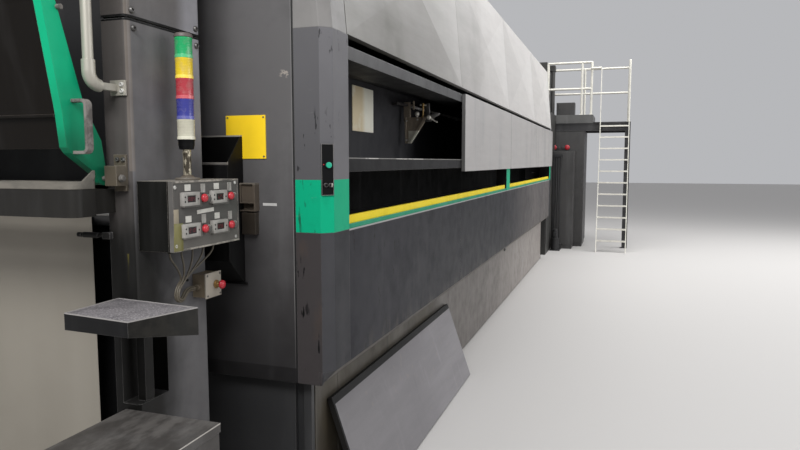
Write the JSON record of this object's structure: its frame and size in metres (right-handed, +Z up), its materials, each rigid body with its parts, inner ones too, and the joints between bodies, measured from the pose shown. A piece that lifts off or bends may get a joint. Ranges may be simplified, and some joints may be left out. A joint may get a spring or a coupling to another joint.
{
  "type": "offset printing press",
  "caption": "Web offset press: printing tower with swinging guard and rollers, long panelled dryer housing, and the next unit with ladder and platform.",
  "frame": {"origin": "on the floor under the middle of the dryer housing, on the press's centreline", "axes": "+Z up, +Y along the press away from the printing tower, +X to the aisle with the open bay"},
  "size_m": [3.725, 12.294, 3.4],
  "materials": {
    "base_dark": "matt, dusty",
    "base_brown": "worn paint",
    "base_grey": "worn paint",
    "bed_iron": "oily",
    "body_dark": "matt",
    "beige_paint": "worn semi gloss",
    "blue_grey_paint": "satin, scuffed",
    "light_grey_paint": "satin, scuffed",
    "green_paint": "semi gloss, chipped",
    "yellow_paint": "semi gloss, dirty",
    "dark_steel": "matt",
    "end_grey_paint": "satin, scuffed",
    "silver_sheet": "brushed, wiped and streaked",
    "mid_grey_paint": "satin",
    "bright_steel": "polished by hands",
    "black_sheet": "matt",
    "black_plastic": "satin",
    "tower_grey": "satin over a casting",
    "brown_paint": "semi gloss, inky",
    "tray_grey": "worn",
    "roller_rubber": "satin",
    "web_paper": "uncoated",
    "box_dark": "fine textured",
    "lamp_plastic": "glossy lenses",
    "cable_jacket": "matt",
    "far_grey_paint": "satin",
    "platform_dark": "worn at the edges"
  },
  "bodies": {
    "press": {"base_plinth": "base_dark", "base_panels": "base_brown", "base_ends": "base_grey", "bed_rails": "bed_iron", "body_floor": "body_dark", "under_lips": "beige_paint", "lower_panels": "blue_grey_paint", "lower_corners": "blue_grey_paint", "corner_posts": "light_grey_paint", "bay_posts": "green_paint", "sill_strips": "green_paint", "sill_bars": "yellow_paint", "sill_decks": "body_dark", "shelf_beams": "light_grey_paint", "header_beams": "light_grey_paint", "inner_walls": "dark_steel", "gap_plate": "dark_steel", "end_walls": "end_grey_paint", "canopy_ribs": "body_dark", "canopy_panels": "silver_sheet", "canopy_corners": "mid_grey_paint", "roof_panels": "mid_grey_paint", "cover_panels": "silver_sheet", "leaning_cover": "silver_sheet", "clamp_rail": "bright_steel", "clamp_bracket": "beige_paint", "sign_plates": "yellow_paint", "tool_bin": "black_sheet", "latch_blocks": "beige_paint", "post_controls": "black_plastic", "columns_lower": "tower_grey", "columns_upper": "tower_grey", "tower_back": "dark_steel", "tower_top": "tower_grey", "grab_rails": "bright_steel", "guard_brackets": "beige_paint", "drip_tray": "tray_grey", "paper_web": "web_paper", "control_box": "box_dark", "stack_light": "lamp_plastic", "junction_box": "beige_paint", "control_cables": "cable_jacket", "side_shelf": "black_sheet", "step_box": "black_sheet", "far_unit": "far_grey_paint", "far_cabinets": "far_grey_paint", "far_pump": "bed_iron", "pump_hoses": "roller_rubber", "platform": "platform_dark", "handrails": "bright_steel", "ladder_sides": "bright_steel", "ladder_treads": "bright_steel"},
    "guard": {"guard_arms": "green_paint", "guard_hood": "brown_paint"},
    "nip_roller": {"nip_roller": "bright_steel"},
    "web_roller_upper": {"web_roller_upper": "roller_rubber"},
    "web_roller_lower": {"web_roller_lower": "bright_steel"}
  },
  "joints": [
    {"name": "guard_hinge", "type": "hinge", "parent": "press", "child": "guard", "pos_m": [0, -4.788, 1.498], "axis": [1, 0, 0], "range_deg": [-10, 28]},
    {"name": "nip_roller_turn", "type": "hinge", "parent": "press", "child": "nip_roller", "pos_m": [0, -4.714, 1.386], "axis": [1, 0, 0], "continuous": true},
    {"name": "web_roller_upper_turn", "type": "hinge", "parent": "press", "child": "web_roller_upper", "pos_m": [0, -4.51, 1.37], "axis": [1, 0, 0], "continuous": true},
    {"name": "web_roller_lower_turn", "type": "hinge", "parent": "press", "child": "web_roller_lower", "pos_m": [0, -4.51, 0.33], "axis": [1, 0, 0], "continuous": true}
  ]
}
